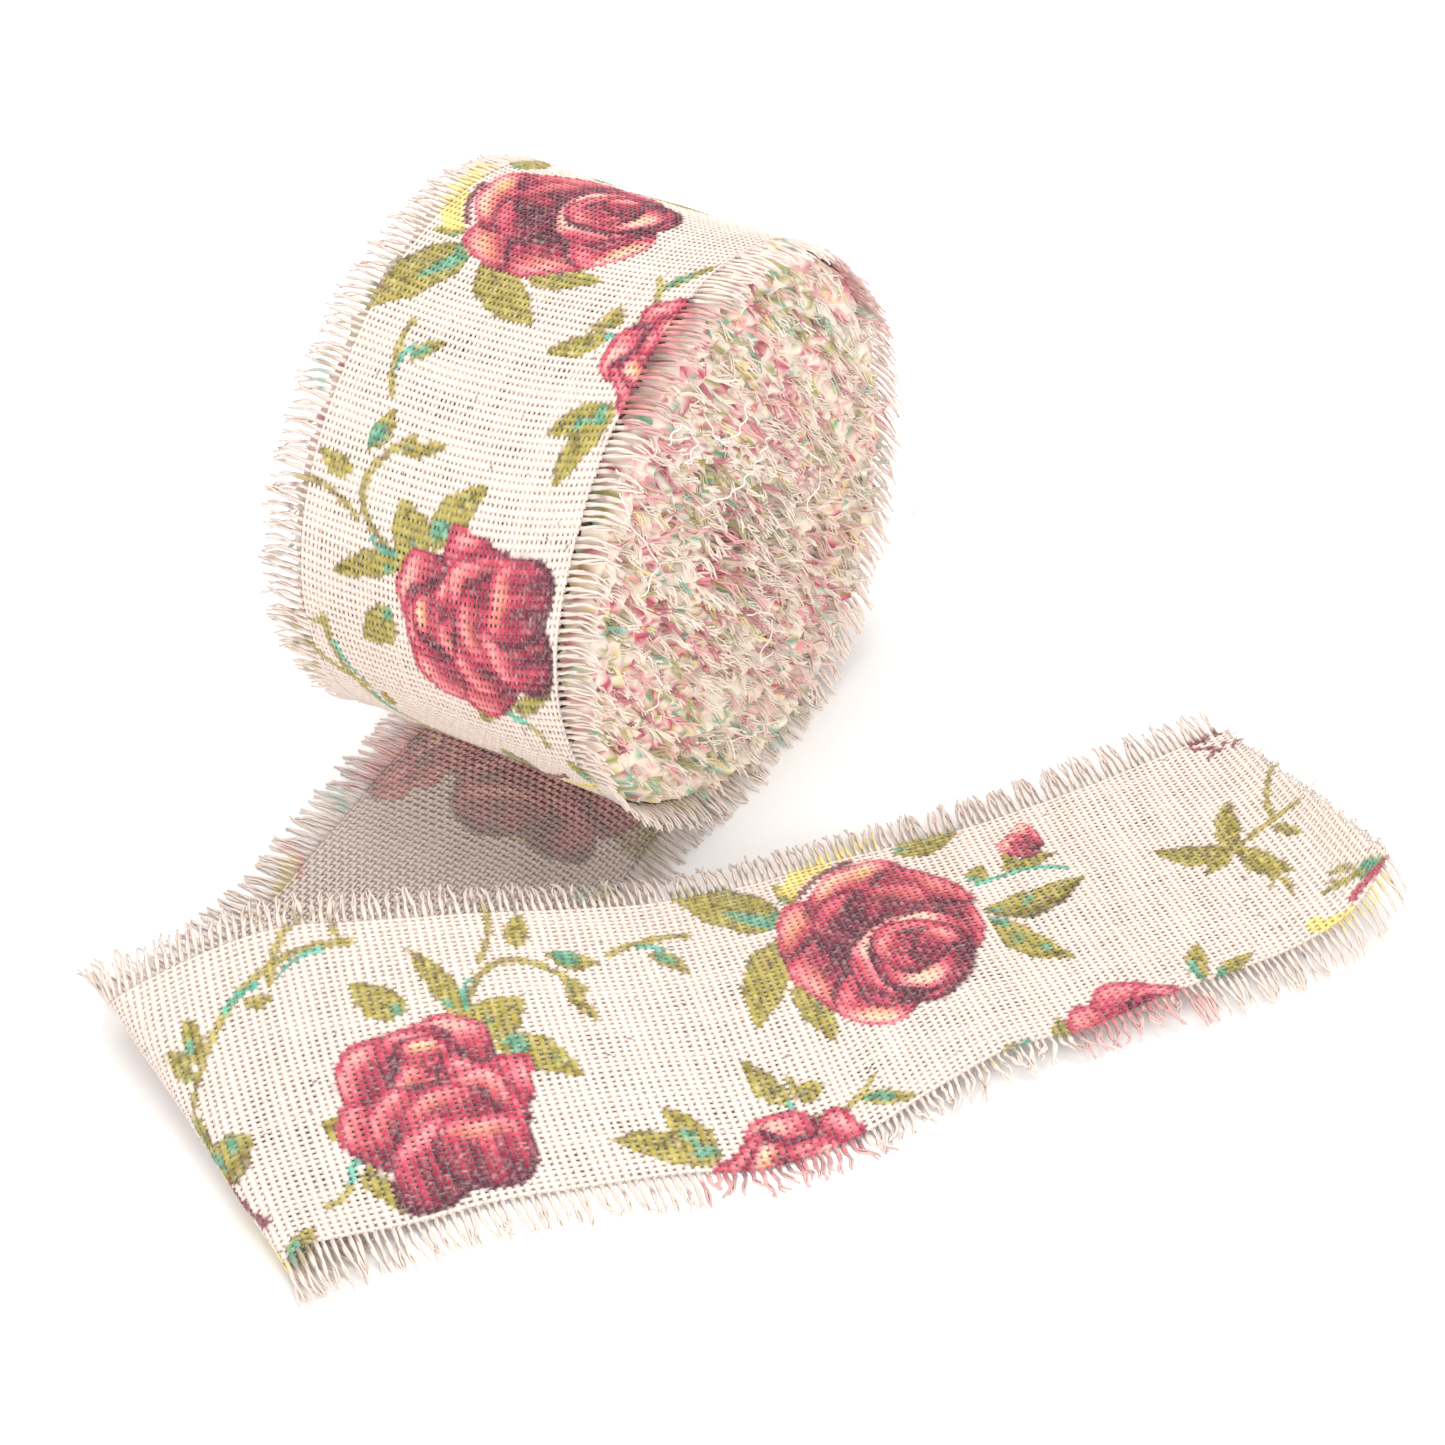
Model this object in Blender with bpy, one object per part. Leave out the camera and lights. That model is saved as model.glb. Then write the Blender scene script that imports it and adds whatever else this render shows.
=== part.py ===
"""Fringed burlap ribbon: a loosely wound roll whose loose end lies on the table and turns back over itself.

Metres, +Z up. The origin is the middle of the flat spot that the roll rests on, +X runs to the viewer's
right and +Y runs away from the viewer. Left and right are those of the ribbon as it leaves the roll.
"""
import math
import random
from collections import namedtuple

import bmesh
import bpy
from mathutils import Vector

MM = 0.001

# The ribbon
WOVEN_WIDTH = 45.0 * MM
FRINGE_LENGTH = 7.5 * MM
SHEET_THICKNESS = 1.2 * MM
CLEARANCE = 0.35 * MM

# The roll: a soft spiral winding, wider than it is tall, leaning a little off its axis
ROLL_RADIUS = 46.5 * MM
ROLL_SQUASH = 0.85
ROLL_SKEW = 0.059
ROLL_LUMP = 0.018
ROLL_AXIS_TURN = math.radians(30.5)
ROLL_LEAN = math.radians(9.2)
FLAT_SPOT_DEPTH = 0.85 * MM
ROLL_SIDES = 48

# The fluffy ends of the roll, where the fringes of all its turns stand side by side
PILE_FACE = 30.4 * MM
SPIRAL_TURNS = 5
SPIRAL_RINGS = 16
SPIRAL_RIDGE = 0.9 * MM
PILE_DISH = 2.0 * MM

# The fringe's strands and the narrow strips that hold their roots
STRIP_WIDTH = 1.0 * MM
STRIP_THICKNESS = 0.9 * MM
STRAND_TIP_SCALE = 0.45
STRAND_SWAY = 0.8 * MM
STRAND_PITCH = 4.1 * MM
RIM_STRANDS = 48
SEED = 11

# The roll's outline along its axis: how far out, and how far the surface is inset from the outer turn
Profile = namedtuple("Profile", "along inset")
BARREL_HALF = 20.8 * MM
SHOULDER = [
    Profile(20.8 * MM, 2.1 * MM),
    Profile(23.0 * MM, 2.2 * MM),
    Profile(27.0 * MM, 2.7 * MM),
    Profile(29.6 * MM, 4.2 * MM),
]
RIM_ROOT = Profile(20.9 * MM, 0.7 * MM)
RIM_EDGE = Profile(22.7 * MM, 0.7 * MM)
RIM_TIP = Profile(31.0 * MM, 1.1 * MM)

# The loose end in millimetres: a row for each section, its left and right edges and how high they lie,
# and how far its middle arches above the line between them
Section = namedtuple("Section", "left_x left_y left_lift right_x right_y right_lift arch")
FROM_ROLL = [
    Section(-29.3, -5.4, 0.0, 9.5, -28.2, 0.0, 0.0),
    Section(-36.0, -14.0, 0.0, 4.0, -34.6, 0.0, 0.0),
    Section(-44.0, -30.0, 0.0, -3.4, -50.0, 0.0, 0.3),
    Section(-53.5, -49.5, 0.0, -12.5, -70.0, 0.0, 0.3),
    Section(-61.0, -60.5, 0.0, -27.0, -95.0, 0.0, 0.0),
]
TO_CUT_END = [
    Section(-58.0, -75.6, 14.5, -35.0, -117.8, 2.6, 0.5),
    Section(-47.9, -70.9, 14.4, -27.5, -114.4, 1.0, 1.0),
    Section(-34.8, -69.0, 13.9, -16.7, -110.0, 0.2, 1.5),
    Section(-22.5, -66.9, 12.9, -4.4, -107.2, 0.0, 2.0),
    Section(-9.8, -64.7, 11.6, 8.1, -104.9, 0.0, 2.2),
    Section(2.9, -61.3, 9.8, 21.0, -103.4, 0.0, 2.2),
    Section(14.8, -55.6, 7.4, 33.1, -97.7, 0.4, 1.8),
    Section(25.3, -48.5, 4.6, 43.3, -90.1, 1.3, 1.5),
    Section(36.2, -42.0, 2.3, 54.0, -83.4, 2.4, 1.0),
    Section(48.1, -36.7, 1.3, 65.9, -78.9, 2.2, 0.6),
    Section(59.6, -30.6, 0.8, 77.1, -73.0, 2.8, 0.4),
    Section(70.7, -24.5, 0.6, 88.0, -67.2, 1.8, 0.4),
    Section(81.5, -18.2, 0.5, 98.2, -61.3, 1.6, 0.5),
    Section(88.3, -14.2, 0.4, 106.6, -56.4, 4.4, 0.6),
    Section(92.8, -11.6, 0.4, 111.6, -50.8, 10.0, 0.4),
]

# The soft fold: the lower end, the upper end and the outermost point of its loop at each edge, in millimetres
Fold = namedtuple("Fold", "low high crest")
FOLD_LEFT = Fold((-65.4, -66.8, 0.3), (-65.6, -80.6, 14.2), (-73.0, -79.0, 6.8))
FOLD_RIGHT = Fold((-42.0, -119.3, 0.2), (-41.6, -121.3, 4.4), (-44.4, -122.4, 2.2))
FOLD_STEPS = 6
SPAN_STEPS = 2
ACROSS_STEPS = 4

CLOTH_COLOUR = (0.80, 0.72, 0.65, 1.0)
ROLL_COLOUR = (0.78, 0.66, 0.60, 1.0)
FRINGE_COLOUR = (0.86, 0.78, 0.68, 1.0)
CLOTH_ROUGHNESS = 0.95


def material(name, colour):
    """One matte cloth material."""
    made = bpy.data.materials.new(name)
    made.use_nodes = True
    shader = made.node_tree.nodes["Principled BSDF"]
    shader.inputs["Base Color"].default_value = colour
    shader.inputs["Roughness"].default_value = CLOTH_ROUGHNESS
    shader.inputs["Metallic"].default_value = 0.0
    return made


def add_object(name, vertices, faces, finish):
    """One closed body from its points and faces, with its faces turned outwards."""
    mesh = bpy.data.meshes.new(name)
    mesh.from_pydata([tuple(point) for point in vertices], [], faces)
    work = bmesh.new()
    work.from_mesh(mesh)
    bmesh.ops.recalc_face_normals(work, faces=work.faces)
    work.to_mesh(mesh)
    work.free()
    mesh.materials.append(finish)
    made = bpy.data.objects.new(name, mesh)
    bpy.context.collection.objects.link(made)
    return made


# The roll's surface

ROLL_AXIS = Vector((math.cos(ROLL_AXIS_TURN), -math.sin(ROLL_AXIS_TURN), 0.0))
ROLL_SIDE = Vector((math.sin(ROLL_AXIS_TURN), math.cos(ROLL_AXIS_TURN), 0.0))
ROLL_UP = -math.sin(ROLL_LEAN) * ROLL_AXIS + Vector((0.0, 0.0, math.cos(ROLL_LEAN)))
ROLL_CENTRE = ROLL_SQUASH * ROLL_RADIUS * ROLL_UP - Vector((0.0, 0.0, FLAT_SPOT_DEPTH))


def roll_point(along, inset, turn, share=1.0):
    """A point of the winding: its place along the axis, its depth under the outer turn, its angle from the
    top, and the share of the way out from the middle."""
    outline = 1.0 + ROLL_SKEW * math.sin(2.0 * turn) + ROLL_LUMP * math.sin(3.0 * turn)
    reach = share * (ROLL_RADIUS * outline - inset)
    point = ROLL_CENTRE + along * ROLL_AXIS
    point = point + reach * (ROLL_SQUASH * math.cos(turn) * ROLL_UP + math.sin(turn) * ROLL_SIDE)
    point.z = max(point.z, 0.0)
    return point


def spiral_height(share, turn):
    """How far the wound fringes stand out at the roll's end: a spiral ridge on a slightly dished face."""
    ridge = SPIRAL_RIDGE * math.cos(2.0 * math.pi * SPIRAL_TURNS * share - turn)
    swell = 0.5 * SPIRAL_RIDGE * math.sin(3.0 * turn + 5.0 * share)
    return PILE_FACE + (ridge + swell) * math.sqrt(1.0 - share) - PILE_DISH * (1.0 - share) ** 2


def build_roll(finish):
    """The winding as one solid: the outer turn, the shoulders and the spiral at both ends."""
    turns = [2.0 * math.pi * side / ROLL_SIDES for side in range(ROLL_SIDES)]
    face_inset = SHOULDER[-1].inset
    shares = [1.0 - ring / SPIRAL_RINGS for ring in range(1, SPIRAL_RINGS)]
    rings = []
    for end in (-1.0, 1.0):
        half = [[roll_point(end * spiral_height(share, turn), face_inset, turn, share) for turn in turns]
                for share in reversed(shares)]
        half += [[roll_point(end * row.along, row.inset, turn) for turn in turns] for row in reversed(SHOULDER)]
        half.append([roll_point(end * BARREL_HALF, 0.0, turn) for turn in turns])
        rings += half if end < 0.0 else half[::-1]
    vertices = [point for ring in rings for point in ring]
    faces = []
    for row in range(len(rings) - 1):
        for side in range(ROLL_SIDES):
            after = (side + 1) % ROLL_SIDES
            low, high = row * ROLL_SIDES, (row + 1) * ROLL_SIDES
            faces.append((low + side, low + after, high + after, high + side))
    for row, end in ((0, -1.0), (len(rings) - 1, 1.0)):
        vertices.append(roll_point(end * spiral_height(0.0, 0.0), 0.0, 0.0, 0.0))
        for side in range(ROLL_SIDES):
            after = (side + 1) % ROLL_SIDES
            faces.append((row * ROLL_SIDES + side, row * ROLL_SIDES + after, len(vertices) - 1))
    return add_object("ribbon_roll", vertices, faces, finish)


# The loose end's surface

def fold_rows():
    """The sections of the loop where the ribbon turns back over itself."""
    rows = []
    for step in range(FOLD_STEPS + 1):
        angle = math.pi * (step / FOLD_STEPS - 0.5)
        ends = []
        for fold in (FOLD_LEFT, FOLD_RIGHT):
            low, high, crest = (Vector(point) for point in fold)
            middle = (low + high) / 2.0
            ends.append(middle + (high - low) / 2.0 * math.sin(angle) + (crest - middle) * math.cos(angle))
        rows.append(Section(*ends[0], *ends[1], 0.0))
    return rows


def smooth(before, first, second, after, share):
    """A point on the smooth curve from first to second."""
    bend = 2.0 * before - 5.0 * first + 4.0 * second - after
    twist = 3.0 * (first - second) + after - before
    return first + 0.5 * share * (second - before + share * (bend + share * twist))


def centre_surface():
    """The middle of the cloth as rows of points from the left edge to the right, roll to cut end."""
    sections = FROM_ROLL + fold_rows() + TO_CUT_END
    edges = []
    for row in sections:
        left = Vector((row.left_x, row.left_y, row.left_lift)) * MM
        right = Vector((row.right_x, row.right_y, row.right_lift)) * MM
        edges.append((left, right, Vector((row.arch * MM, 0.0, 0.0))))
    rows = []
    for index in range(len(edges) - 1):
        around = [edges[max(index - 1, 0)], edges[index], edges[index + 1], edges[min(index + 2, len(edges) - 1)]]
        steps = 1 if len(FROM_ROLL) <= index < len(FROM_ROLL) + FOLD_STEPS else SPAN_STEPS
        rows += [[smooth(*(item[part] for item in around), step / steps) for part in range(3)]
                 for step in range(steps)]
    rows.append(list(edges[-1]))
    surface = []
    for left, right, arch in rows:
        points = []
        for step in range(ACROSS_STEPS + 1):
            share = step / ACROSS_STEPS
            point = left.lerp(right, share)
            point.z += SHEET_THICKNESS / 2.0 + arch.x * 4.0 * share * (1.0 - share)
            point.z = max(point.z, SHEET_THICKNESS / 2.0)
            points.append(point)
        surface.append(points)
    return surface


def surface_normals(surface):
    """The direction square to the cloth at each point, up on the stretch that leaves the roll."""
    last_row, last_column = len(surface) - 1, len(surface[0]) - 1
    normals = []
    for row in range(last_row + 1):
        line = []
        for column in range(last_column + 1):
            along = surface[min(row + 1, last_row)][column] - surface[max(row - 1, 0)][column]
            across = surface[row][min(column + 1, last_column)] - surface[row][max(column - 1, 0)]
            line.append(across.cross(along).normalized() * -1.0)
        normals.append(line)
    return normals


def build_tail(surface, normals, finish):
    """The loose end as one sheet of even thickness."""
    rows, columns = len(surface), len(surface[0])
    vertices = []
    for side in (0.5, -0.5):
        for row in range(rows):
            for column in range(columns):
                point = surface[row][column] + side * SHEET_THICKNESS * normals[row][column]
                point.z = max(point.z, 0.0)
                vertices.append(point)
    under = rows * columns
    faces = []
    for row in range(rows - 1):
        for column in range(columns - 1):
            corner = row * columns + column
            quad = (corner, corner + 1, corner + columns + 1, corner + columns)
            faces.append(quad)
            faces.append(tuple(under + index for index in reversed(quad)))
    border = [column for column in range(columns - 1)]
    border += [row * columns + columns - 1 for row in range(rows - 1)]
    border += [(rows - 1) * columns + column for column in range(columns - 1, 0, -1)]
    border += [row * columns for row in range(rows - 1, 0, -1)]
    for index, first in enumerate(border):
        second = border[(index + 1) % len(border)]
        faces.append((first, under + first, under + second, second))
    return add_object("ribbon_tail", vertices, faces, finish)


# Fringes

def comb_faces(stations, closed):
    """The faces of a strip with a strand on every other cell. Each station has the strip's four corners, inner
    upper first and outer upper last, and the strands' tips, four points each, follow the stations."""
    cells = stations if closed else stations - 1
    faces = []
    strands = 0
    for cell in range(cells):
        near, far = 4 * cell, 4 * ((cell + 1) % stations)
        for first, second in ((0, 1), (1, 2), (3, 0)):
            faces.append((near + first, near + second, far + second, far + first))
        roots = (near + 2, near + 3, far + 3, far + 2)
        if cell % 2:
            faces.append(roots)
            continue
        tips = [4 * stations + 4 * strands + corner for corner in range(4)]
        strands += 1
        for corner in range(4):
            after = (corner + 1) % 4
            faces.append((roots[corner], roots[after], tips[after], tips[corner]))
        faces.append(tuple(tips))
    if not closed:
        faces.append((0, 1, 2, 3))
        last = 4 * (stations - 1)
        faces.append((last + 3, last + 2, last + 1, last))
    return faces


def shrink_tip(corners, scale):
    """A strand's tip: its four points drawn towards their middle."""
    middle = sum(corners, Vector()) / 4.0
    return [middle + (corner - middle) * scale for corner in corners]


def build_rim_fringe(name, end, finish, source):
    """The fringe of the outer turn at one rim of the roll."""
    stations = 2 * RIM_STRANDS
    turns = [2.0 * math.pi * station / stations for station in range(stations)]
    strip = []
    for turn in turns:
        for row, depth in ((RIM_ROOT, 0.0), (RIM_ROOT, STRIP_THICKNESS), (RIM_EDGE, STRIP_THICKNESS), (RIM_EDGE, 0.0)):
            strip.append(roll_point(end * row.along, row.inset + depth, turn))
    tips = []
    for cell in range(0, stations, 2):
        sway = source.uniform(-1.0, 1.0) * STRAND_SWAY / ROLL_RADIUS
        length = source.uniform(0.88, 1.0)
        reach = RIM_EDGE.along + length * (RIM_TIP.along - RIM_EDGE.along)
        after = turns[(cell + 1) % stations] if cell + 1 < stations else 2.0 * math.pi
        corners = [roll_point(end * reach, RIM_TIP.inset + depth, turn + sway)
                   for turn, depth in ((turns[cell], STRIP_THICKNESS), (turns[cell], 0.0),
                                       (after, 0.0), (after, STRIP_THICKNESS))]
        tips += shrink_tip(corners, STRAND_TIP_SCALE)
    return add_object(name, strip + tips, comb_faces(stations, True), finish)


def resample(line, spacing, trim):
    """Evenly spaced places on an edge, as (row, share) pairs, an even number of them."""
    lengths = [0.0]
    for first, second in zip(line, line[1:]):
        lengths.append(lengths[-1] + (second - first).length)
    start, stop = trim, lengths[-1] - trim
    count = max(4, 2 * round((stop - start) / spacing / 2.0))
    places = []
    for index in range(count):
        wanted = start + (stop - start) * index / (count - 1)
        row = max(i for i in range(len(line) - 1) if lengths[i] <= wanted + 1e-9)
        places.append((row, (wanted - lengths[row]) / (lengths[row + 1] - lengths[row])))
    return places


def build_edge_fringe(name, surface, normals, rows, side, hang, finish, source):
    """The fringe along one edge of the loose end, between two of its rows. hang is how steeply it droops."""
    column, inner = (0, 1) if side < 0 else (-1, -2)
    first_row, last_row = rows
    line = [surface[row][column] for row in range(first_row, last_row + 1)]
    frames = []
    for row, share in resample(line, STRAND_PITCH / 2.0, 0.2 * MM):
        low, high = first_row + row, first_row + row + 1
        point = surface[low][column].lerp(surface[high][column], share)
        inside = surface[low][inner].lerp(surface[high][inner], share)
        normal = normals[low][column].lerp(normals[high][column], share).normalized()
        outward = (point - inside).normalized()
        frames.append((point, outward, normal))
    half = STRIP_THICKNESS / 2.0
    strip = []
    for point, outward, normal in frames:
        near, far = CLEARANCE, CLEARANCE + STRIP_WIDTH
        for reach, rise in ((near, half), (near, -half), (far, -half), (far, half)):
            strip.append(point + reach * outward + rise * normal)
    tips = []
    for cell in range(0, len(frames) - 1, 2):
        length = FRINGE_LENGTH * source.uniform(0.86, 1.0) - CLEARANCE - STRIP_WIDTH
        sway = STRAND_SWAY * source.uniform(-1.0, 1.0)
        along = (frames[cell + 1][0] - frames[cell][0]).normalized()
        corners = []
        for station, corner in ((cell, 2), (cell, 3), (cell + 1, 3), (cell + 1, 2)):
            root = strip[4 * station + corner]
            outward = (frames[station][1] - Vector((0.0, 0.0, hang))).normalized()
            corners.append(root + length * outward + sway * along)
        tips += shrink_tip(corners, STRAND_TIP_SCALE)
    for index in range(0, len(tips), 4):
        sunk = min(0.0, min(point.z for point in tips[index:index + 4]))
        for point in tips[index:index + 4]:
            point.z -= sunk
    for point in strip:
        point.z = max(point.z, 0.0)
    return add_object(name, strip + tips, comb_faces(len(frames), False), finish)


def build_fringes(surface, normals, finish):
    """Every fringe: the outer turn's two rims, and the loose end's edges before, in and after the fold."""
    source = random.Random(SEED)
    build_rim_fringe("fringe_roll_near", 1.0, finish, source)
    build_rim_fringe("fringe_roll_far", -1.0, finish, source)
    fold_first = SPAN_STEPS * len(FROM_ROLL)
    fold_middle = fold_first + FOLD_STEPS // 2
    fold_last = fold_first + FOLD_STEPS
    end = len(surface) - 1
    edges = [
        ("fringe_under_left", (0, fold_first), -1, 0.0),
        ("fringe_fold_left", (fold_first, fold_last), -1, 0.0),
        ("fringe_back", (fold_last, end), -1, 0.0),
        ("fringe_under_right", (0, fold_first - SPAN_STEPS), 1, 0.0),
        ("fringe_front", (fold_middle, end), 1, 0.35),
    ]
    for name, rows, side, hang in edges:
        build_edge_fringe(name, surface, normals, rows, side, hang, finish, source)


def build():
    """The whole ribbon."""
    for leftover in list(bpy.data.objects):
        bpy.data.objects.remove(leftover, do_unlink=True)
    cloth = material("cloth", CLOTH_COLOUR)
    winding = material("winding", ROLL_COLOUR)
    fringe = material("fringe", FRINGE_COLOUR)
    build_roll(winding)
    surface = centre_surface()
    normals = surface_normals(surface)
    build_tail(surface, normals, cloth)
    build_fringes(surface, normals, fringe)


build()
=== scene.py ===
"""The look of the fringed burlap ribbon, yarn by yarn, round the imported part.

Lengths are in millimetres until a mesh is made.
"""

import math
from collections import namedtuple

import bpy
import mathutils
import numpy as np
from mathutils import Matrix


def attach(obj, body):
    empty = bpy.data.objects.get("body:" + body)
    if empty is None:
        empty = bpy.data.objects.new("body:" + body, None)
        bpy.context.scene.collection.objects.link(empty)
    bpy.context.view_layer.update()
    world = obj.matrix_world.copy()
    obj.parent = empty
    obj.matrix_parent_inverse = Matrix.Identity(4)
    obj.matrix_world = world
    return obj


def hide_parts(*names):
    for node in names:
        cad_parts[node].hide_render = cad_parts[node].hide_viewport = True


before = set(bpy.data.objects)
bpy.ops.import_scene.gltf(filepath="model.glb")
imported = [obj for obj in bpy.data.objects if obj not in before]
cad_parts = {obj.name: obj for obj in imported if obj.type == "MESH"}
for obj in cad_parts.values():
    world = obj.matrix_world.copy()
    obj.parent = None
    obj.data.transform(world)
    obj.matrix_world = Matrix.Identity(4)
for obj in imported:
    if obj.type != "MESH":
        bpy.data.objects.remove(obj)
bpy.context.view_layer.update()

MM = 0.001
RNG = np.random.default_rng(5)

# The cloth: yarns across, pitches along and across, and how far a yarn weaves up and down
WIDTH = 45.0
FRINGE = 7.5
WARP_PITCH = 0.75
WEFT_PITCH = 1.22
WARP_WIDE, WARP_THICK = 0.64, 0.11
WEFT_WIDE, WEFT_THICK = 1.06, 0.12
CRIMP = 0.09
CLOTH_LIFT = 0.34
CUT_SLANT = 8.0
PRINT_REPEAT = 350.0

# The loose end, as in the part: each section's left and right edge, their lift, and the arch between them
Section = namedtuple("Section", "left_x left_y left_lift right_x right_y right_lift arch")
FROM_ROLL = [
    Section(-29.3, -5.4, 0.0, 9.5, -28.2, 0.0, 0.0),
    Section(-36.0, -14.0, 0.0, 4.0, -34.6, 0.0, 0.0),
    Section(-44.0, -30.0, 0.0, -3.4, -50.0, 0.0, 0.3),
    Section(-53.5, -49.5, 0.0, -12.5, -70.0, 0.0, 0.3),
    Section(-61.0, -60.5, 0.0, -27.0, -95.0, 0.0, 0.0),
]
TO_CUT_END = [
    Section(-58.0, -75.6, 14.5, -35.0, -117.8, 2.6, 0.5),
    Section(-47.9, -70.9, 14.4, -27.5, -114.4, 1.0, 1.0),
    Section(-34.8, -69.0, 13.9, -16.7, -110.0, 0.2, 1.5),
    Section(-22.5, -66.9, 12.9, -4.4, -107.2, 0.0, 2.0),
    Section(-9.8, -64.7, 11.6, 8.1, -104.9, 0.0, 2.2),
    Section(2.9, -61.3, 9.8, 21.0, -103.4, 0.0, 2.2),
    Section(14.8, -55.6, 7.4, 33.1, -97.7, 0.4, 1.8),
    Section(25.3, -48.5, 4.6, 43.3, -90.1, 1.3, 1.5),
    Section(36.2, -42.0, 2.3, 54.0, -83.4, 2.4, 1.0),
    Section(48.1, -36.7, 1.3, 65.9, -78.9, 2.2, 0.6),
    Section(59.6, -30.6, 0.8, 77.1, -73.0, 2.8, 0.4),
    Section(70.7, -24.5, 0.6, 88.0, -67.2, 1.8, 0.4),
    Section(81.5, -18.2, 0.5, 98.2, -61.3, 1.6, 0.5),
    Section(88.3, -14.2, 0.4, 106.6, -56.4, 4.4, 0.6),
    Section(92.8, -11.6, 0.4, 111.6, -50.8, 10.0, 0.4),
]
FOLD_LEFT = ((-65.4, -66.8, 0.3), (-65.6, -80.6, 14.2), (-73.0, -79.0, 6.8))
FOLD_RIGHT = ((-42.0, -119.3, 0.2), (-41.6, -121.3, 4.4), (-44.4, -122.4, 2.2))
FOLD_STEPS = 6
SECTION_STEPS = 10

# The roll, as in the part
ROLL_RADIUS = 46.5
ROLL_SQUASH, ROLL_SKEW, ROLL_LUMP = 0.85, 0.059, 0.018
ROLL_TURN, ROLL_LEAN = math.radians(30.5), math.radians(9.2)
FLAT_SPOT = 0.85
AXIS = np.array([math.cos(ROLL_TURN), -math.sin(ROLL_TURN), 0.0])
SIDE = np.array([math.sin(ROLL_TURN), math.cos(ROLL_TURN), 0.0])
UP = -math.sin(ROLL_LEAN) * AXIS + np.array([0.0, 0.0, math.cos(ROLL_LEAN)])
CENTRE = ROLL_SQUASH * ROLL_RADIUS * UP - np.array([0.0, 0.0, FLAT_SPOT])
GIRTH = 271.0
INNER_TURNS = 12.6
LAST_TURN = math.radians(-168.0)
LOOSE_END_U = 304.0   # where the loose end's pieces stop and the roll's begin
ROLL_FRONT_U = 405.0  # the turn's fully detailed front starts here
RUMPLED_U = (42.0, 118.0)  # the stretch whose right fringe is crumpled
Z = np.array([0.0, 0.0, 1.0])


# Small helpers

def linear(hexadecimal):
    """A colour written as six hexadecimal digits, in linear light."""
    parts = [int(hexadecimal[i:i + 2], 16) / 255.0 for i in (0, 2, 4)]
    return np.array([p / 12.92 if p <= 0.04045 else ((p + 0.055) / 1.055) ** 2.4 for p in parts])


def ramp(tone, stops):
    """A colour for each tone from rows of (tone, colour)."""
    places = [place for place, _ in stops]
    colours = np.array([linear(colour) for _, colour in stops])
    return np.stack([np.interp(tone, places, colours[:, part]) for part in range(3)], axis=-1)


def step(low, high, value):
    """A soft step from 0 at low to 1 at high."""
    share = np.clip((value - low) / (high - low), 0.0, 1.0)
    return share * share * (3.0 - 2.0 * share)


def rumple(x, y, seed):
    """A smooth random field from about -1 to 1, with waves about six units long."""
    source = np.random.default_rng(seed)
    total = 0.0
    for _ in range(5):
        angle, phase = source.uniform(0.0, 2.0 * math.pi, 2)
        wave = source.uniform(0.7, 1.6)
        total = total + np.sin(wave * (x * math.cos(angle) + y * math.sin(angle)) + phase)
    return total / 2.6


def unit(vectors):
    return vectors / np.maximum(np.linalg.norm(vectors, axis=-1, keepdims=True), 1e-9)


# The ribbon's surface: u runs along it from the cut end, v across from the left edge to the right

def fold_rows():
    rows = []
    for index in range(FOLD_STEPS + 1):
        angle = math.pi * (index / FOLD_STEPS - 0.5)
        ends = []
        for fold in (FOLD_LEFT, FOLD_RIGHT):
            low, high, crest = (np.array(point) for point in fold)
            middle = (low + high) / 2.0
            ends.append(middle + (high - low) / 2.0 * math.sin(angle) + (crest - middle) * math.cos(angle))
        rows.append(Section(*ends[0], *ends[1], 0.0))
    return rows


def roll_place(turn, inset, share=1.0):
    """A point of the roll's middle section, at an angle from the top and a depth under the outer turn."""
    outline = 1.0 + ROLL_SKEW * math.sin(2.0 * turn) + ROLL_LUMP * math.sin(3.0 * turn)
    radial = ROLL_SQUASH * math.cos(turn) * UP + math.sin(turn) * SIDE
    return CENTRE + share * (ROLL_RADIUS * outline - inset) * radial


def rails():
    """The ribbon's left edge, right edge and arch from the cut end, through the fold, once round the roll."""
    rows = np.array(FROM_ROLL + fold_rows() + TO_CUT_END)[::-1]
    last = len(rows) - 1
    smooth = []
    for index in range(last):
        a, b, c, d = rows[max(index - 1, 0)], rows[index], rows[index + 1], rows[min(index + 2, last)]
        for part in range(SECTION_STEPS):
            t = part / SECTION_STEPS
            smooth.append(b + 0.5 * t * (c - a + t * (2 * a - 5 * b + 4 * c - d + t * (3 * (b - c) + d - a))))
    smooth = np.array(smooth)
    left, right, arch = smooth[:, 0:3].copy(), smooth[:, 3:6].copy(), smooth[:, 6]
    left[:, 2] = np.maximum(left[:, 2], 0.0) + CLOTH_LIFT
    right[:, 2] = np.maximum(right[:, 2], 0.0) + CLOTH_LIFT
    middles = [side * SIDE + CLOTH_LIFT * Z for side in np.linspace(-19.5, 0.0, 21)[:-1]]
    for turn in np.linspace(math.pi, LAST_TURN, 233):
        gone = (math.pi - turn) / (2.0 * math.pi)
        point = roll_place(turn, 0.36 + 0.9 * max(0.0, gone - 0.72) / 0.28)
        point[2] = max(point[2], CLOTH_LIFT)
        middles.append(point)
    middles = np.array(middles)
    left = np.vstack([left, middles - 0.5 * WIDTH * AXIS])
    right = np.vstack([right, middles + 0.5 * WIDTH * AXIS])
    return left, right, np.concatenate([arch, np.zeros(len(middles))])


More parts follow.
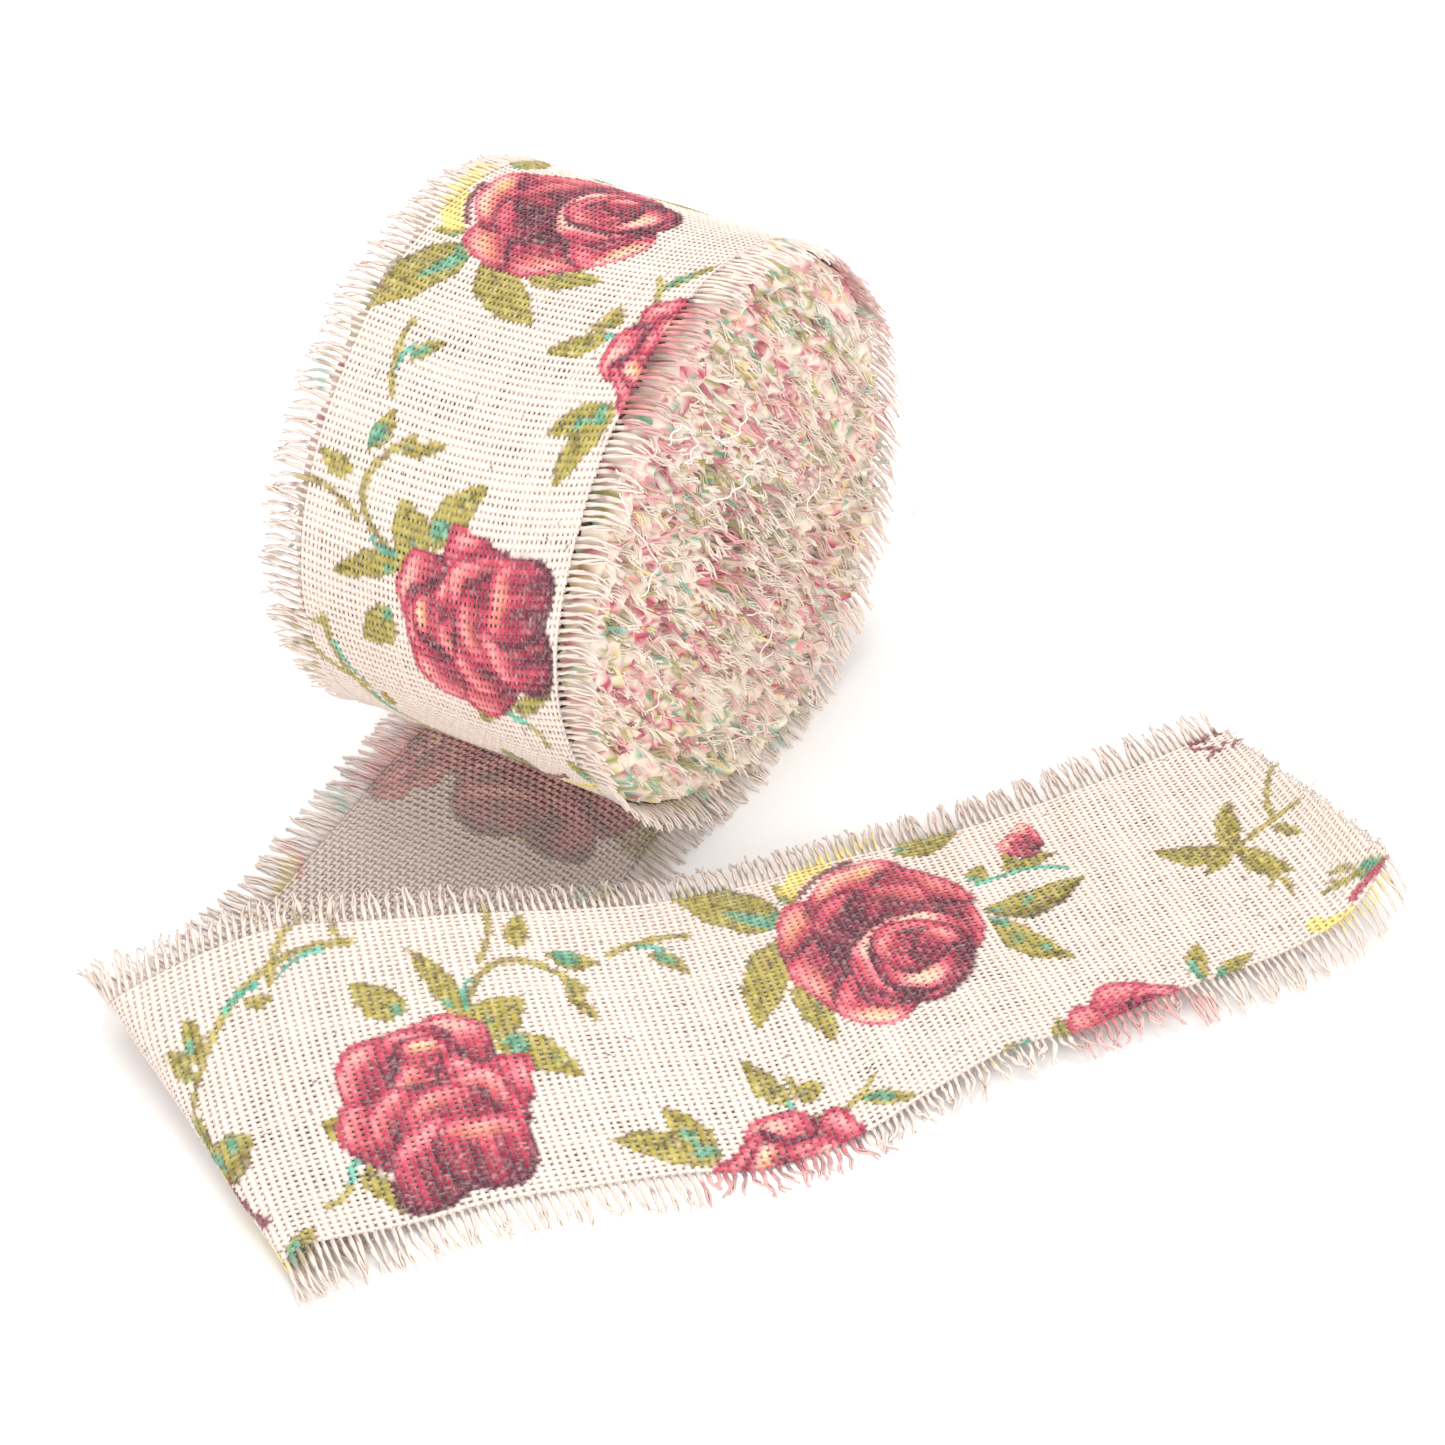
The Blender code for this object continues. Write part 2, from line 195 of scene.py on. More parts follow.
def weave_grid():
    """Points on a grid of half pitches, with their normals on the printed side and their u and v.
    Rows whose u lies before the slanted cut are marked as not there."""
    left, right, arch = rails()
    v = np.arange(-0.5 * WIDTH, 0.5 * WIDTH + 0.01, WARP_PITCH / 2.0)
    share = (v / WIDTH + 0.5)[None, :]
    dense = left[:, None, :] * (1 - share[..., None]) + right[:, None, :] * share[..., None]
    dense[:, :, 2] += arch[:, None] * 4.0 * share * (1.0 - share)
    length = np.linalg.norm(np.diff(dense, axis=0), axis=2)
    along = np.vstack([np.zeros(len(v)), np.cumsum(length, axis=0)]) + CUT_SLANT * (1.0 - share)
    u = np.arange(0.0, along[-1].min(), WEFT_PITCH / 2.0)
    grid = np.empty((len(u), len(v), 3))
    for column in range(len(v)):
        for part in range(3):
            grid[:, column, part] = np.interp(u, along[:, column], dense[:, column, part])
    there = u[:, None] >= CUT_SLANT * (1.0 - share) - 0.01
    du, dv = unit(np.gradient(grid, axis=0)), unit(np.gradient(grid, axis=1))
    gone = ~there
    du[:-1][gone[:-1]] = 0.0
    for column in range(len(v)):
        first = int(np.argmax(there[:, column])) + 1
        du[:first, column] = du[first, column]
    normal = unit(np.cross(du, dv))
    ripple = 0.16 * rumple(u[:, None] / 5.0, v[None, :] / 6.0, 41)
    ripple = ripple + 0.1 * rumple(u[:, None] / 2.4, v[None, :] / 3.0, 42)
    grid = grid + ripple[..., None] * normal
    grid[..., 2] = np.maximum(grid[..., 2], CLOTH_LIFT)
    return grid, normal, du, dv, u, v, there


# The print. x runs to the viewer's right on the upper stretch, which is against u, and y against v

Rose = namedtuple("Rose", "u v wide tall turn kind")
Leaf = namedtuple("Leaf", "u v length width turn teal dark")
Stroke = namedtuple("Stroke", "width colour start end bow")
Petal = namedtuple("Petal", "x y across deep turn tone glow")

ROSES = [
    Rose(150.4, 8.0, 11.9, 13.4, 8.0, "full"),
    Rose(78.6, -4.6, 16.4, 15.2, -12.0, "open"),
    Rose(106.4, 28.0, 11.6, 11.4, 35.0, "full"),
    Rose(49.5, 28.4, 10.6, 10.6, -40.0, "full"),
    Rose(49.3, -15.0, 4.2, 4.0, 30.0, "bud"),
    Rose(277.0, 1.5, 14.0, 15.0, 80.0, "full"),
    Rose(272.0, -24.0, 11.0, 9.5, 150.0, "full"),
    Rose(325.0, 9.0, 12.0, 12.5, 10.0, "full"),
]
LEAVES = [
    Leaf(150.7, -6.3, 8.6, 6.0, 138, 0.35, 0.2), Leaf(142.8, -3.6, 14.4, 4.2, 112, 0.3, 0.3),
    Leaf(142.9, -2.0, 9.8, 7.2, 25, 0.5, 0.2), Leaf(139.9, 0.4, 12.6, 5.8, -31, 0.5, 0.2),
    Leaf(160.2, 12.1, 8.2, 4.8, 140, 0.45, 0.3), Leaf(161.2, 13.5, 5.2, 2.6, -96, 0.1, 0.1),
    Leaf(160.3, 15.7, 5.6, 2.6, -80, 0.1, 0.1), Leaf(127.0, -9.5, 8.4, 2.6, -75, 0.3, 0.5),
    Leaf(128.9, -14.0, 7.4, 3.6, -19, 0.75, 0.3), Leaf(132.9, -15.3, 6.6, 3.6, 76, 0.4, 0.2),
    Leaf(114.3, -12.6, 6.6, 2.7, -45, 0.7, 0.3), Leaf(91.8, -13.1, 20.8, 8.4, 147, 0.5, 0.4),
    Leaf(92.8, -10.4, 17.2, 7.8, -128, 0.2, 0.2), Leaf(95.0, -2.4, 11.4, 5.8, -79, 0.25, 0.2),
    Leaf(89.5, -15.8, 5.8, 2.8, 110, 0.6, 0.2), Leaf(69.6, -20.8, 11.7, 5.0, 8, 0.4, 0.3),
    Leaf(60.6, -10.8, 4.6, 3.6, 37, 0.5, 0.2), Leaf(61.0, -4.1, 17.6, 5.8, 1, 0.35, 0.9),
    Leaf(61.0, -2.6, 15.0, 5.4, -55, 0.55, 0.3), Leaf(54.1, -10.4, 8.4, 2.8, 69, 0.3, 0.2),
    Leaf(54.1, -10.4, 8.8, 2.8, 3, 0.3, 0.2), Leaf(102.8, 14.8, 9.0, 4.2, 120, 0.4, 0.4),
    Leaf(101.7, 14.8, 4.8, 3.2, 12, 0.4, 0.3), Leaf(101.6, 14.6, 4.0, 1.5, 92, 0.2, 0.2),
    Leaf(93.4, 17.1, 10.0, 2.2, -29, 0.7, 0.2), Leaf(115.9, 21.1, 13.7, 4.8, 161, 0.2, 0.4),
    Leaf(115.9, 21.5, 9.6, 5.2, 117, 0.6, 0.3), Leaf(61.5, 24.7, 5.6, 2.8, 76, 0.1, 0.2),
    Leaf(37.5, 22.5, 8.2, 3.8, 63, 0.7, 0.2), Leaf(35.0, 22.6, 8.0, 2.8, 14, 0.6, 0.4),
    Leaf(19.7, 1.3, 12.8, 4.4, 153, 0.0, 0.5), Leaf(19.7, 1.3, 10.0, 4.6, 64, 0.0, 0.4),
    Leaf(19.7, 1.8, 6.3, 2.8, -163, 0.0, 0.3), Leaf(18.7, 1.3, 10.6, 4.4, -60, 0.0, 0.4),
    Leaf(11.5, 1.3, 5.5, 2.1, -58, 0.0, 0.4), Leaf(6.6, 18.9, 6.6, 2.8, -31, 1.0, 0.1),
    Leaf(172.4, -13.1, 4.4, 2.2, -7, 0.0, 0.1), Leaf(180.7, -7.7, 6.9, 3.6, 91, 0.5, 0.5),
    Leaf(182.0, -5.9, 6.2, 3.2, 116, 0.5, 0.4), Leaf(183.3, 6.3, 8.3, 3.2, 90, 0.6, 0.6),
    Leaf(182.9, 7.2, 7.4, 7.2, 14, 0.6, 0.6), Leaf(177.1, 25.4, 7.0, 4.0, 43, 0.6, 0.3),
    Leaf(262.5, -5.0, 6.5, 4.2, -160, 0.3, 0.7), Leaf(264.5, 3.0, 5.6, 3.6, -120, 0.3, 0.7),
    Leaf(283.0, 16.0, 13.0, 4.6, -60, 0.3, 0.3), Leaf(276.0, 17.0, 8.0, 3.4, -85, 0.3, 0.3),
    Leaf(226.0, 6.0, 9.0, 4.0, 60, 0.3, 0.3), Leaf(228.0, 7.0, 8.0, 3.6, 160, 0.3, 0.3),
    Leaf(309.0, 2.0, 10.0, 5.0, 30, 0.4, 0.3), Leaf(337.0, 0.0, 11.0, 5.0, 150, 0.4, 0.3),
    Leaf(341.0, 12.0, 9.0, 4.4, -150, 0.3, 0.3),
]
STROKES = [
    Stroke(1.3, "vine", (143, -4), (125, -7), 0.42), Stroke(0.9, "teal", (142, -6), (141, -10), 0.1),
    Stroke(1.1, "vine", (139, -13), (136, -25), -0.1), Stroke(1.2, "vine", (120, -13), (108, -15), 0.08),
    Stroke(0.9, "teal", (116, -14), (112, -13), 0.1), Stroke(1.2, "teal", (159, 10), (165, 16), -0.1),
    Stroke(1.0, "vine", (165, 16), (169, 18), 0.1), Stroke(0.9, "teal", (60, -10), (45, -7), 0.1),
    Stroke(1.1, "teal", (103, 15), (103, 17), 0.0), Stroke(0.9, "vine", (100, 18), (90, 16), -0.1),
    Stroke(1.1, "vine", (20, 2), (6, 1), 0.08), Stroke(1.3, "vine", (11, 0), (6, -8), 0.1),
    Stroke(0.7, "vine", (18, 6), (18, 11), 0.3), Stroke(1.0, "vine", (17, 9), (16, 14), 0.2),
    Stroke(1.0, "vine", (12, 17), (5, 20), 0.08), Stroke(0.9, "vine", (10, 16), (6, 19), -0.1),
    Stroke(1.1, "vine", (9, 15), (6, 18), 0.1), Stroke(2.6, "yellow", (16, 21), (3, 24), -0.08),
    Stroke(1.2, "crimson", (9, 21), (1, 23), 0.08), Stroke(1.3, "vine", (156, -19), (183, -2), -0.16),
    Stroke(0.8, "teal", (160, -18), (167, -15), -0.08), Stroke(1.0, "teal", (170, -15), (175, -13), -0.08),
    Stroke(1.3, "vine", (168, -15), (160, -25), 0.12), Stroke(1.1, "vine", (157, -19), (157, -25), 0.1),
    Stroke(1.5, "maroon", (182, 8), (178, 17), -0.08), Stroke(1.7, "yellow", (183, 8), (178, 24), -0.08),
    Stroke(3.4, "yellow", (89, -19), (72, -25), 0.08), Stroke(1.0, "maroon", (88, -17), (77, -21), 0.1),
    Stroke(0.7, "vine", (75, 26), (68, 22), 0.1), Stroke(0.8, "teal", (72, 27), (66, 22), 0.1),
    Stroke(2.2, "pink", (240, -22), (244, -27), 0.1), Stroke(2.8, "yellow", (236, -23), (243, -26), 0.1),
    Stroke(2.2, "teal", (256, -24), (259, -29), 0.1), Stroke(1.4, "vine", (282, 19), (272, 29), 0.1),
    Stroke(1.0, "vine", (230, 5), (212, 12), 0.15), Stroke(1.2, "vine", (300, -16), (312, 0), 0.15),
    Stroke(1.0, "teal", (296, 14), (308, 25), 0.15), Stroke(2.6, "vine", (200, 24), (206, 27), 0.0),
    Stroke(2.2, "teal", (122, -25), (120, -27), 0.0), Stroke(2.0, "vine", (119, -25), (117, -26), 0.0),
    Stroke(1.6, "vine", (168, -25), (170, -28), 0.0), Stroke(1.6, "vine", (163, -25), (165, -28), 0.0),
]
DASH_SEED = 21
# Where crimson dashes are scattered: middle along and across, spread along and across, and how many
DASH_DRIFTS = [(11.0, -19.0, 3.5, 5.0, 14), (110.0, 26.5, 60.0, 1.5, 12), (100.0, -26.5, 50.0, 1.5, 8)]
FULL_ROSE = [
    Petal(-0.40, 0.36, 0.60, 0.58, 38, 0.46, 0.0), Petal(0.36, 0.46, 0.62, 0.50, -24, 0.50, 0.1),
    Petal(-0.64, -0.10, 0.36, 0.62, 62, 0.44, 0.1), Petal(0.70, -0.02, 0.32, 0.60, -72, 0.42, 0.0),
    Petal(0.02, 0.52, 0.50, 0.40, 8, 0.40, 0.0), Petal(0.16, 0.34, 0.52, 0.42, -8, 0.14, 0.0),
    Petal(0.14, 0.44, 0.34, 0.28, -6, 0.56, 0.7), Petal(0.18, 0.32, 0.24, 0.18, 4, 0.16, 0.0),
    Petal(0.16, 0.26, 0.18, 0.14, 0, 0.62, 0.5), Petal(-0.10, 0.14, 0.34, 0.36, 36, 0.52, 0.4),
    Petal(0.40, 0.12, 0.34, 0.36, -34, 0.46, 0.0), Petal(-0.36, -0.14, 0.52, 0.50, 34, 0.44, 0.1),
    Petal(0.44, -0.22, 0.54, 0.52, -34, 0.48, 0.1), Petal(0.02, -0.26, 0.66, 0.44, 4, 0.40, 0.2),
    Petal(-0.26, -0.56, 0.62, 0.44, 20, 0.42, 0.0), Petal(0.32, -0.60, 0.60, 0.42, -16, 0.48, 0.5),
]
OPEN_ROSE = [
    Petal(-0.62, 0.22, 0.50, 0.40, 62, 0.46, 0.6), Petal(-0.55, -0.30, 0.50, 0.36, 112, 0.44, 0.3),
    Petal(-0.12, 0.62, 0.62, 0.40, 20, 0.60, 0.9), Petal(0.48, 0.46, 0.52, 0.38, -38, 0.38, 0.2),
    Petal(-0.16, -0.66, 0.46, 0.34, 158, 0.62, 0.5), Petal(0.72, 0.02, 0.40, 0.32, -86, 0.32, 0.0),
    Petal(-0.18, 0.18, 0.52, 0.52, 40, 0.24, 0.0), Petal(0.22, 0.36, 0.52, 0.34, -10, 0.30, 0.1),
    Petal(0.06, -0.50, 0.40, 0.36, 165, 0.16, -0.8), Petal(0.30, -0.30, 0.60, 0.56, 20, 0.90, 1.0),
    Petal(0.33, -0.28, 0.50, 0.48, 0, 0.36, 0.0), Petal(0.34, -0.34, 0.42, 0.36, 175, 0.66, 0.3),
    Petal(0.22, -0.26, 0.22, 0.32, 50, 0.50, 0.1), Petal(0.48, -0.24, 0.20, 0.30, -40, 0.46, 0.1),
]
BUD = [Petal(-0.2, 0.0, 0.6, 0.9, 20, 0.6, 0.2), Petal(0.35, 0.1, 0.55, 0.85, -25, 0.72, 0.2),
       Petal(0.05, 0.1, 0.4, 0.7, 0, 0.5, 0.0)]
PETALS = {"full": FULL_ROSE, "open": OPEN_ROSE, "bud": BUD}

CREAM = linear("efded3")
ROSE_RAMP = [(0.0, "5c1230"), (0.2, "86203f"), (0.42, "b83352"), (0.6, "d95068"), (0.8, "f08a92"),
             (1.0, "fcccb8")]
LEAF_RAMP = [(0.0, "4c3e10"), (0.25, "7d6f28"), (0.5, "a89a42"), (0.75, "c0b25a"), (1.0, "d4c878")]
TEAL_RAMP = [(0.0, "17594c"), (0.5, "2f9a80"), (1.0, "62c6ae")]
PLAIN = {"yellow": "f2dc78", "crimson": "b52f52", "maroon": "7c1f3c", "pink": "ec7a8e"}
MAGENTA, YELLOW = linear("b5287c"), linear("f8dd7c")


def lay(colour, ink, where, mask, paint, strength=1.0):
    """Prints a colour over what is there."""
    share = (mask * strength)[:, None]
    colour[where] = colour[where] * (1.0 - share) + paint * share
    ink[where] = np.maximum(ink[where], mask * strength)


def print_rose(rose, u, v, colour, ink):
    near = np.flatnonzero((np.abs(u - rose.u) < 1.3 * rose.wide) & (np.abs(v - rose.v) < 1.3 * rose.tall))
    if not len(near):
        return
    turn = math.radians(rose.turn)
    x0, y0 = -(u[near] - rose.u) / rose.wide, -(v[near] - rose.v) / rose.tall
    x = x0 * math.cos(turn) + y0 * math.sin(turn)
    y = -x0 * math.sin(turn) + y0 * math.cos(turn)
    seed = int(rose.u * 10)
    x, y = x + 0.035 * rumple(8 * x, 8 * y, seed), y + 0.035 * rumple(8 * x, 8 * y, seed + 1)
    for number, petal in enumerate(PETALS[rose.kind]):
        lean = math.radians(petal.turn)
        px, py = x - petal.x, y - petal.y
        across = (px * math.cos(lean) + py * math.sin(lean)) / petal.across
        out = (-px * math.sin(lean) + py * math.cos(lean)) / petal.deep
        edge = np.hypot(across, out) * (1.0 + 0.05 * np.sin(3.0 * np.arctan2(out, across) + number))
        mask = step(1.03, 0.97, edge)
        tone = petal.tone - 0.08 + 0.46 * step(0.25, 0.8, out) - 0.26 * step(0.2, -0.8, out)
        streak = np.sin(11.0 * across + 2.0 * rumple(3 * x, 3 * y, seed + number))
        tone = tone + 0.13 * streak * step(0.8, -0.2, out)
        tone = tone - 0.62 * step(0.80, 0.96, edge) * (0.6 + 0.4 * step(0.3, -0.6, out))
        tone = tone + 0.08 * rumple(14 * x, 14 * y, seed + 7)
        paint = ramp(tone, ROSE_RAMP)
        glow = abs(petal.glow) * step(0.25, 0.7, out) * step(0.9, 0.5, edge)
        glow = glow * (0.7 + 0.3 * rumple(9 * x, 9 * y, 3))
        other = YELLOW if petal.glow >= 0.0 else MAGENTA
        paint = paint + np.clip(glow, 0.0, 1.0)[:, None] * (other - paint)
        lay(colour, ink, near, mask, paint)


def print_leaf(leaf, u, v, colour, ink):
    reach = leaf.length + leaf.width
    near = np.flatnonzero((np.abs(u - leaf.u) < reach) & (np.abs(v - leaf.v) < reach))
    if not len(near):
        return
    turn = math.radians(leaf.turn)
    x0, y0 = -(u[near] - leaf.u), -(v[near] - leaf.v)
    along = (x0 * math.cos(turn) + y0 * math.sin(turn)) / leaf.length
    across = -x0 * math.sin(turn) + y0 * math.cos(turn)
    seed = int(leaf.u * 10 + leaf.turn)
    across = across + 0.08 * leaf.length * np.sin(math.pi * np.clip(along, 0, 1)) * math.sin(seed)
    inside = np.clip(along, 0.0, 1.0)
    half = 0.5 * leaf.width * np.sin(math.pi * inside ** 0.85) ** 0.8 * (1.0 - 0.15 * inside)
    half = half * (1.0 + 0.06 * np.sin(18.0 * inside + seed))
    mask = step(0.22, -0.12, np.abs(across) - half) * ((along > -0.01) & (along < 1.01))
    side = across / np.maximum(half, 0.05)
    vein = step(0.35, 0.0, np.abs(across)) * 0.3
    ribs = 0.5 + 0.5 * np.sin(26.0 * (inside - 0.16 * np.abs(side)))
    tone = 0.66 - 0.45 * leaf.dark * step(0.1, -0.7, side) - vein - 0.16 * ribs * step(1.0, 0.3, np.abs(side))
    tone = tone - 0.3 * step(0.75, 1.0, np.abs(side)) + 0.16 * rumple(2.2 * x0, 2.2 * y0, seed)
    paint = ramp(tone, LEAF_RAMP)
    patch = step(0.2, 0.5, leaf.teal * 1.2 - 0.75 * inside + 0.34 * rumple(1.3 * x0, 1.3 * y0, seed + 5)
                 - 0.5 * np.abs(side - 0.3))
    paint = paint + (0.8 * patch)[:, None] * (ramp(tone + 0.05, TEAL_RAMP) - paint)
    lay(colour, ink, near, mask, paint)


def print_stroke(stroke, u, v, colour, ink):
    start, end = np.array(stroke.start, dtype=float), np.array(stroke.end, dtype=float)
    across = np.array([start[1] - end[1], end[0] - start[0]])
    share = np.linspace(0.0, 1.0, 9)[:, None]
    points = start + share * (end - start) + 4.0 * stroke.bow * share * (1.0 - share) * across
    low, high = points.min(axis=0) - 2.0, points.max(axis=0) + 2.0
    near = np.flatnonzero((u > low[0]) & (u < high[0]) & (v > low[1]) & (v < high[1]))
    if not len(near):
        return
    place = np.stack([u[near], v[near]], axis=1)
    gap = np.full(len(near), 1e9)
    for first, second in zip(points, points[1:]):
        line = second - first
        share = np.clip(((place - first) @ line) / (line @ line), 0.0, 1.0)
        gap = np.minimum(gap, np.linalg.norm(place - first - share[:, None] * line, axis=1))
    noise = rumple(1.6 * place[:, 0], 1.6 * place[:, 1], 9)
    mask = step(0.14, -0.14, gap - 0.5 * stroke.width * (1.0 + 0.22 * noise))
    if stroke.colour == "vine":
        paint = ramp(0.55 - 0.25 * (gap / stroke.width) + 0.22 * noise, LEAF_RAMP)
    elif stroke.colour == "teal":
        paint = ramp(0.7 + 0.3 * noise, TEAL_RAMP)
    else:
        paint = np.repeat(linear(PLAIN[stroke.colour])[None, :], len(near), axis=0)
        paint = paint * (1.0 + 0.12 * noise)[:, None]
    lay(colour, ink, near, mask, paint, 0.92)


def printed(u, v):
    """The print's colour and how much ink there is, at places on the ribbon."""
    shape = u.shape
    u, v = np.mod(u.ravel(), PRINT_REPEAT), v.ravel()
    colour = np.repeat(CREAM[None, :], len(u), axis=0)
    ink = np.zeros(len(u))
    for leaf in LEAVES:
        print_leaf(leaf, u, v, colour, ink)
    for stroke in STROKES:
        print_stroke(stroke, u, v, colour, ink)
    for rose in ROSES:
        print_rose(rose, u, v, colour, ink)
    scatter = np.random.default_rng(DASH_SEED)
    for along, across, spread_along, spread_across, count in DASH_DRIFTS:
        for _ in range(count):
            middle_u = along + scatter.uniform(-1.0, 1.0) * spread_along
            middle_v = across + scatter.uniform(-1.0, 1.0) * spread_across
            lean = scatter.uniform(-0.5, 0.5)
            ends = (middle_u - 0.5, middle_v - lean), (middle_u + 0.5, middle_v + lean)
            dash = Stroke(0.8, "maroon", *ends, 0.0)
            print_stroke(dash, u, v, colour, ink)
    return colour.reshape(shape + (3,)), ink.reshape(shape)


# Yarns as three-sided tubes: a ridge on the printed side and a flat back

class Yarns:
    """Collects tubes and makes one mesh of them."""

    def __init__(self):
        self.points, self.faces, self.back, self.where, self.tone, self.count = [], [], [], [], [], 0
        self.dye, self.bare = [], []

    def add(self, line, ups, wide, thick, u, v, tone, dye=None, bare=0.0):
        """One yarn along a line, with its upward side, half width and thickness, and print coordinates.
        A dye takes the place of the print; bare is how far the print is missing."""
        rings = len(line)
        self.dye.append(np.full((3 * rings, 3), -1.0) if dye is None else np.tile(dye, (3 * rings, 1)))
        self.bare.append(np.repeat(np.broadcast_to(bare, rings), 3))
        ahead = unit(np.gradient(line, axis=0))
        side = unit(np.cross(ups, ahead))
        ups = np.cross(ahead, side)
        wide, thick = np.broadcast_to(wide, rings)[:, None], np.broadcast_to(thick, rings)[:, None]
        ring = np.stack([line + thick * ups,
                         line - wide * side - 0.6 * thick * ups,
                         line + wide * side - 0.6 * thick * ups], axis=1)
        self.points.append(ring.reshape(-1, 3))
        start = self.count + 3 * np.arange(rings - 1)[:, None]
        quads = []
        for first, second in ((0, 1), (1, 2), (2, 0)):
            corners = [start + first, start + second, start + 3 + second, start + 3 + first]
            quads.append(np.concatenate(corners, axis=1))
        self.faces.append(np.stack(quads, axis=1).reshape(-1, 4))
        self.back.append(np.tile([0, 1, 0], rings - 1))
        last = self.count + 3 * (rings - 1)
        caps = [[self.count, self.count + 2, self.count + 1, -1], [last, last + 1, last + 2, -1]]
        self.faces.append(np.array(caps))
        self.back.append(np.zeros(2, dtype=int))
        self.where.append(np.stack([np.repeat(np.broadcast_to(u, rings), 3),
                                    np.repeat(np.broadcast_to(v, rings), 3)], axis=1))
        self.tone.append(np.full(3 * rings, tone))
        self.count += 3 * rings

    def mesh(self, name, finish):
        """The mesh, with the print as a colour at each point."""
        points, faces = np.concatenate(self.points), np.concatenate(self.faces)
        back, where, tone = np.concatenate(self.back), np.concatenate(self.where), np.concatenate(self.tone)
        colour, ink = printed(where[:, 0], where[:, 1])
        dye = np.concatenate(self.dye)
        colour = np.where(dye[:, :1] < 0.0, colour, dye)
        grain = RNG.normal(1.0, 0.035, len(points))
        worn = np.clip(0.14 * RNG.normal(0.0, 1.0, len(points)) * (ink > 0.3), 0.0, 0.5)
        worn = np.maximum(worn, np.concatenate(self.bare))[:, None]
        colour = colour * (1.0 - worn) + CREAM * worn
        colour = colour * (tone * grain)[:, None]
        speck = RNG.random(len(points))
        colour[speck < 0.0012] = linear("5d4a48")
        colour[speck > 0.9996] = linear("d98a5c")
        return make_mesh(name, points, faces, colour, where, finish, back)


def make_mesh(name, points, faces, colour, where, finish, back=None):
    """A smooth mesh from quads, or triangles with -1 last, with its colours and print coordinates."""
    corners = faces.ravel()
    corners = corners[corners >= 0].astype(np.int32)
    sizes = np.where(faces[:, 3] < 0, 3, 4)
    starts = np.concatenate([[0], np.cumsum(sizes)[:-1]]).astype(np.int32)
    mesh = bpy.data.meshes.new(name)
    mesh.vertices.add(len(points))
    mesh.vertices.foreach_set("co", (points * MM).astype(np.float32).ravel())
    mesh.loops.add(len(corners))
    mesh.loops.foreach_set("vertex_index", corners)
    mesh.polygons.add(len(faces))
    mesh.polygons.foreach_set("loop_start", starts)
    mesh.polygons.foreach_set("use_smooth", np.ones(len(faces), dtype=bool))
    mesh.update(calc_edges=True)
    tint = mesh.attributes.new("tint", "FLOAT_COLOR", "POINT")
    solid = np.concatenate([colour, np.ones((len(points), 1))], axis=1)
    tint.data.foreach_set("color", solid.astype(np.float32).ravel())
    side = mesh.attributes.new("back", "FLOAT", "FACE")
    side.data.foreach_set("value", (np.zeros(len(faces)) if back is None else back).astype(np.float32))
    spread = mesh.uv_layers.new(name="OFBake")
    low, high = where.min(axis=0), where.max(axis=0)
    flat = (where - low) / np.maximum(high - low, 1e-6)
    spread.data.foreach_set("uv", flat[corners].astype(np.float32).ravel())
    mesh.validate()
    mesh.materials.append(finish)
    made = bpy.data.objects.new(name, mesh)
    bpy.context.scene.collection.objects.link(made)
    return made


# Materials

def yarn_material(name, bump=0.5, sheen=0.25):
    """Fuzzy spun yarn: the print's tint, fainter on the back, with fine fibres in colour and bump."""
    made = bpy.data.materials.new(name)
    made.use_nodes = True
    nodes, links = made.node_tree.nodes, made.node_tree.links
    shader = nodes["Principled BSDF"]
    shader.inputs["Roughness"].default_value = 0.88
    shader.inputs["Sheen Weight"].default_value = sheen
    shader.inputs["Sheen Roughness"].default_value = 0.6
    shader.inputs["Specular IOR Level"].default_value = 0.25
    tint = nodes.new("ShaderNodeAttribute")
    tint.attribute_name = "tint"
    back = nodes.new("ShaderNodeAttribute")
    back.attribute_name = "back"
    place = nodes.new("ShaderNodeTexCoord")
    fibre = nodes.new("ShaderNodeTexNoise")
    fibre.inputs["Scale"].default_value = 5200.0
    fibre.inputs["Detail"].default_value = 2.0
    links.new(place.outputs["Object"], fibre.inputs["Vector"])
    fade = nodes.new("ShaderNodeMath")
    fade.operation = "MULTIPLY"
    fade.inputs[1].default_value = 0.5
    links.new(back.outputs["Fac"], fade.inputs[0])
    faded = nodes.new("ShaderNodeMix")
    faded.data_type = "RGBA"
    links.new(fade.outputs[0], faded.inputs[0])
    links.new(tint.outputs["Color"], faded.inputs[6])
    faded.inputs[7].default_value = (*CREAM, 1.0)
    light = nodes.new("ShaderNodeMapRange")
    light.inputs[3].default_value = 0.86
    light.inputs[4].default_value = 1.1
    links.new(fibre.outputs["Fac"], light.inputs[0])
    mixed = nodes.new("ShaderNodeVectorMath")
    mixed.operation = "SCALE"
    links.new(faded.outputs[2], mixed.inputs[0])
    links.new(light.outputs[0], mixed.inputs["Scale"])
    links.new(mixed.outputs[0], shader.inputs["Base Color"])
    relief = nodes.new("ShaderNodeBump")
    relief.inputs["Strength"].default_value = bump
    relief.inputs["Distance"].default_value = 0.00006
    links.new(fibre.outputs["Fac"], relief.inputs["Height"])
    links.new(relief.outputs["Normal"], shader.inputs["Normal"])
    return made


# The woven cloth

